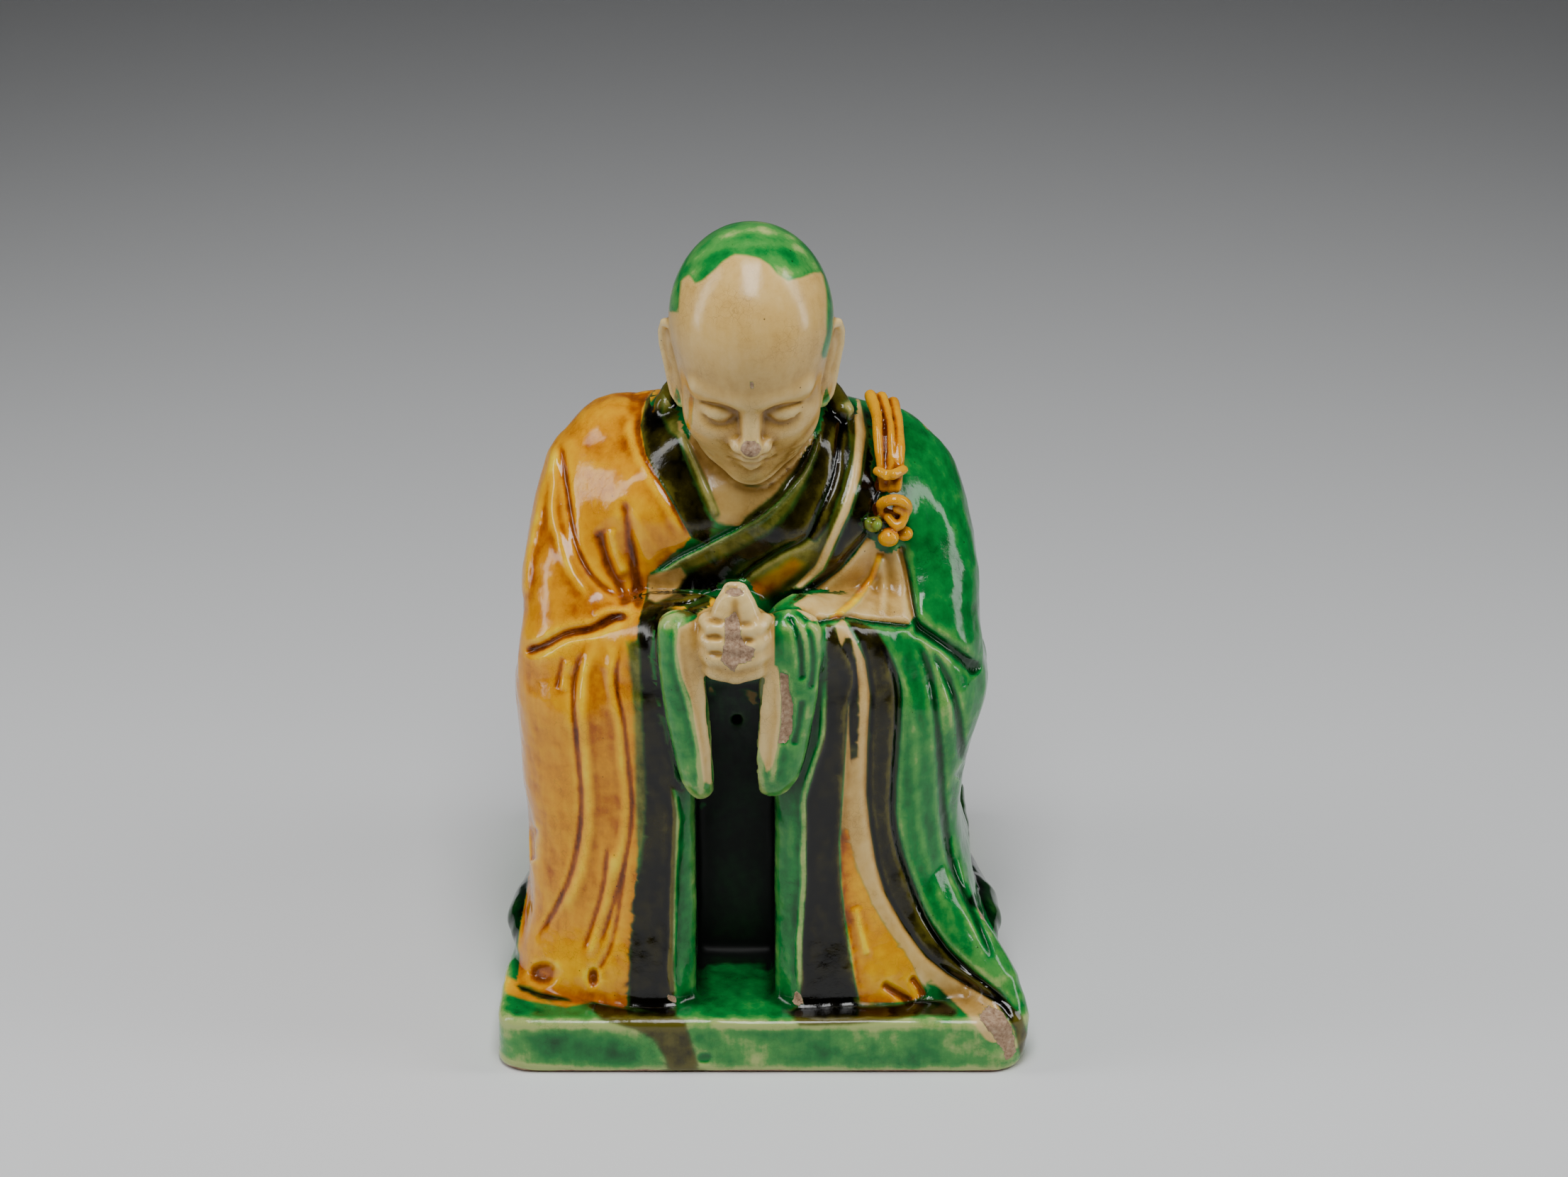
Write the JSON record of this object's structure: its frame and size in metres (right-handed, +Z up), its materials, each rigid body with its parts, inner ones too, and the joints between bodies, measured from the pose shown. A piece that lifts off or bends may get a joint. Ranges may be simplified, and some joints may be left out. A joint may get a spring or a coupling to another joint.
{
  "type": "glazed stoneware figure",
  "caption": "Kneeling monk in three-colour glaze, bowing with joined hands, long sleeves falling to a rectangular slab base.",
  "frame": {"origin": "middle of the slab's underside", "axes": "+Z up, the figure faces -Y, +X to the viewer's right"},
  "size_m": [0.164, 0.164, 0.2605],
  "materials": {
    "glaze": "gloss"
  },
  "bodies": {
    "root": {"arhat_statue": "glaze"}
  },
  "joints": []
}
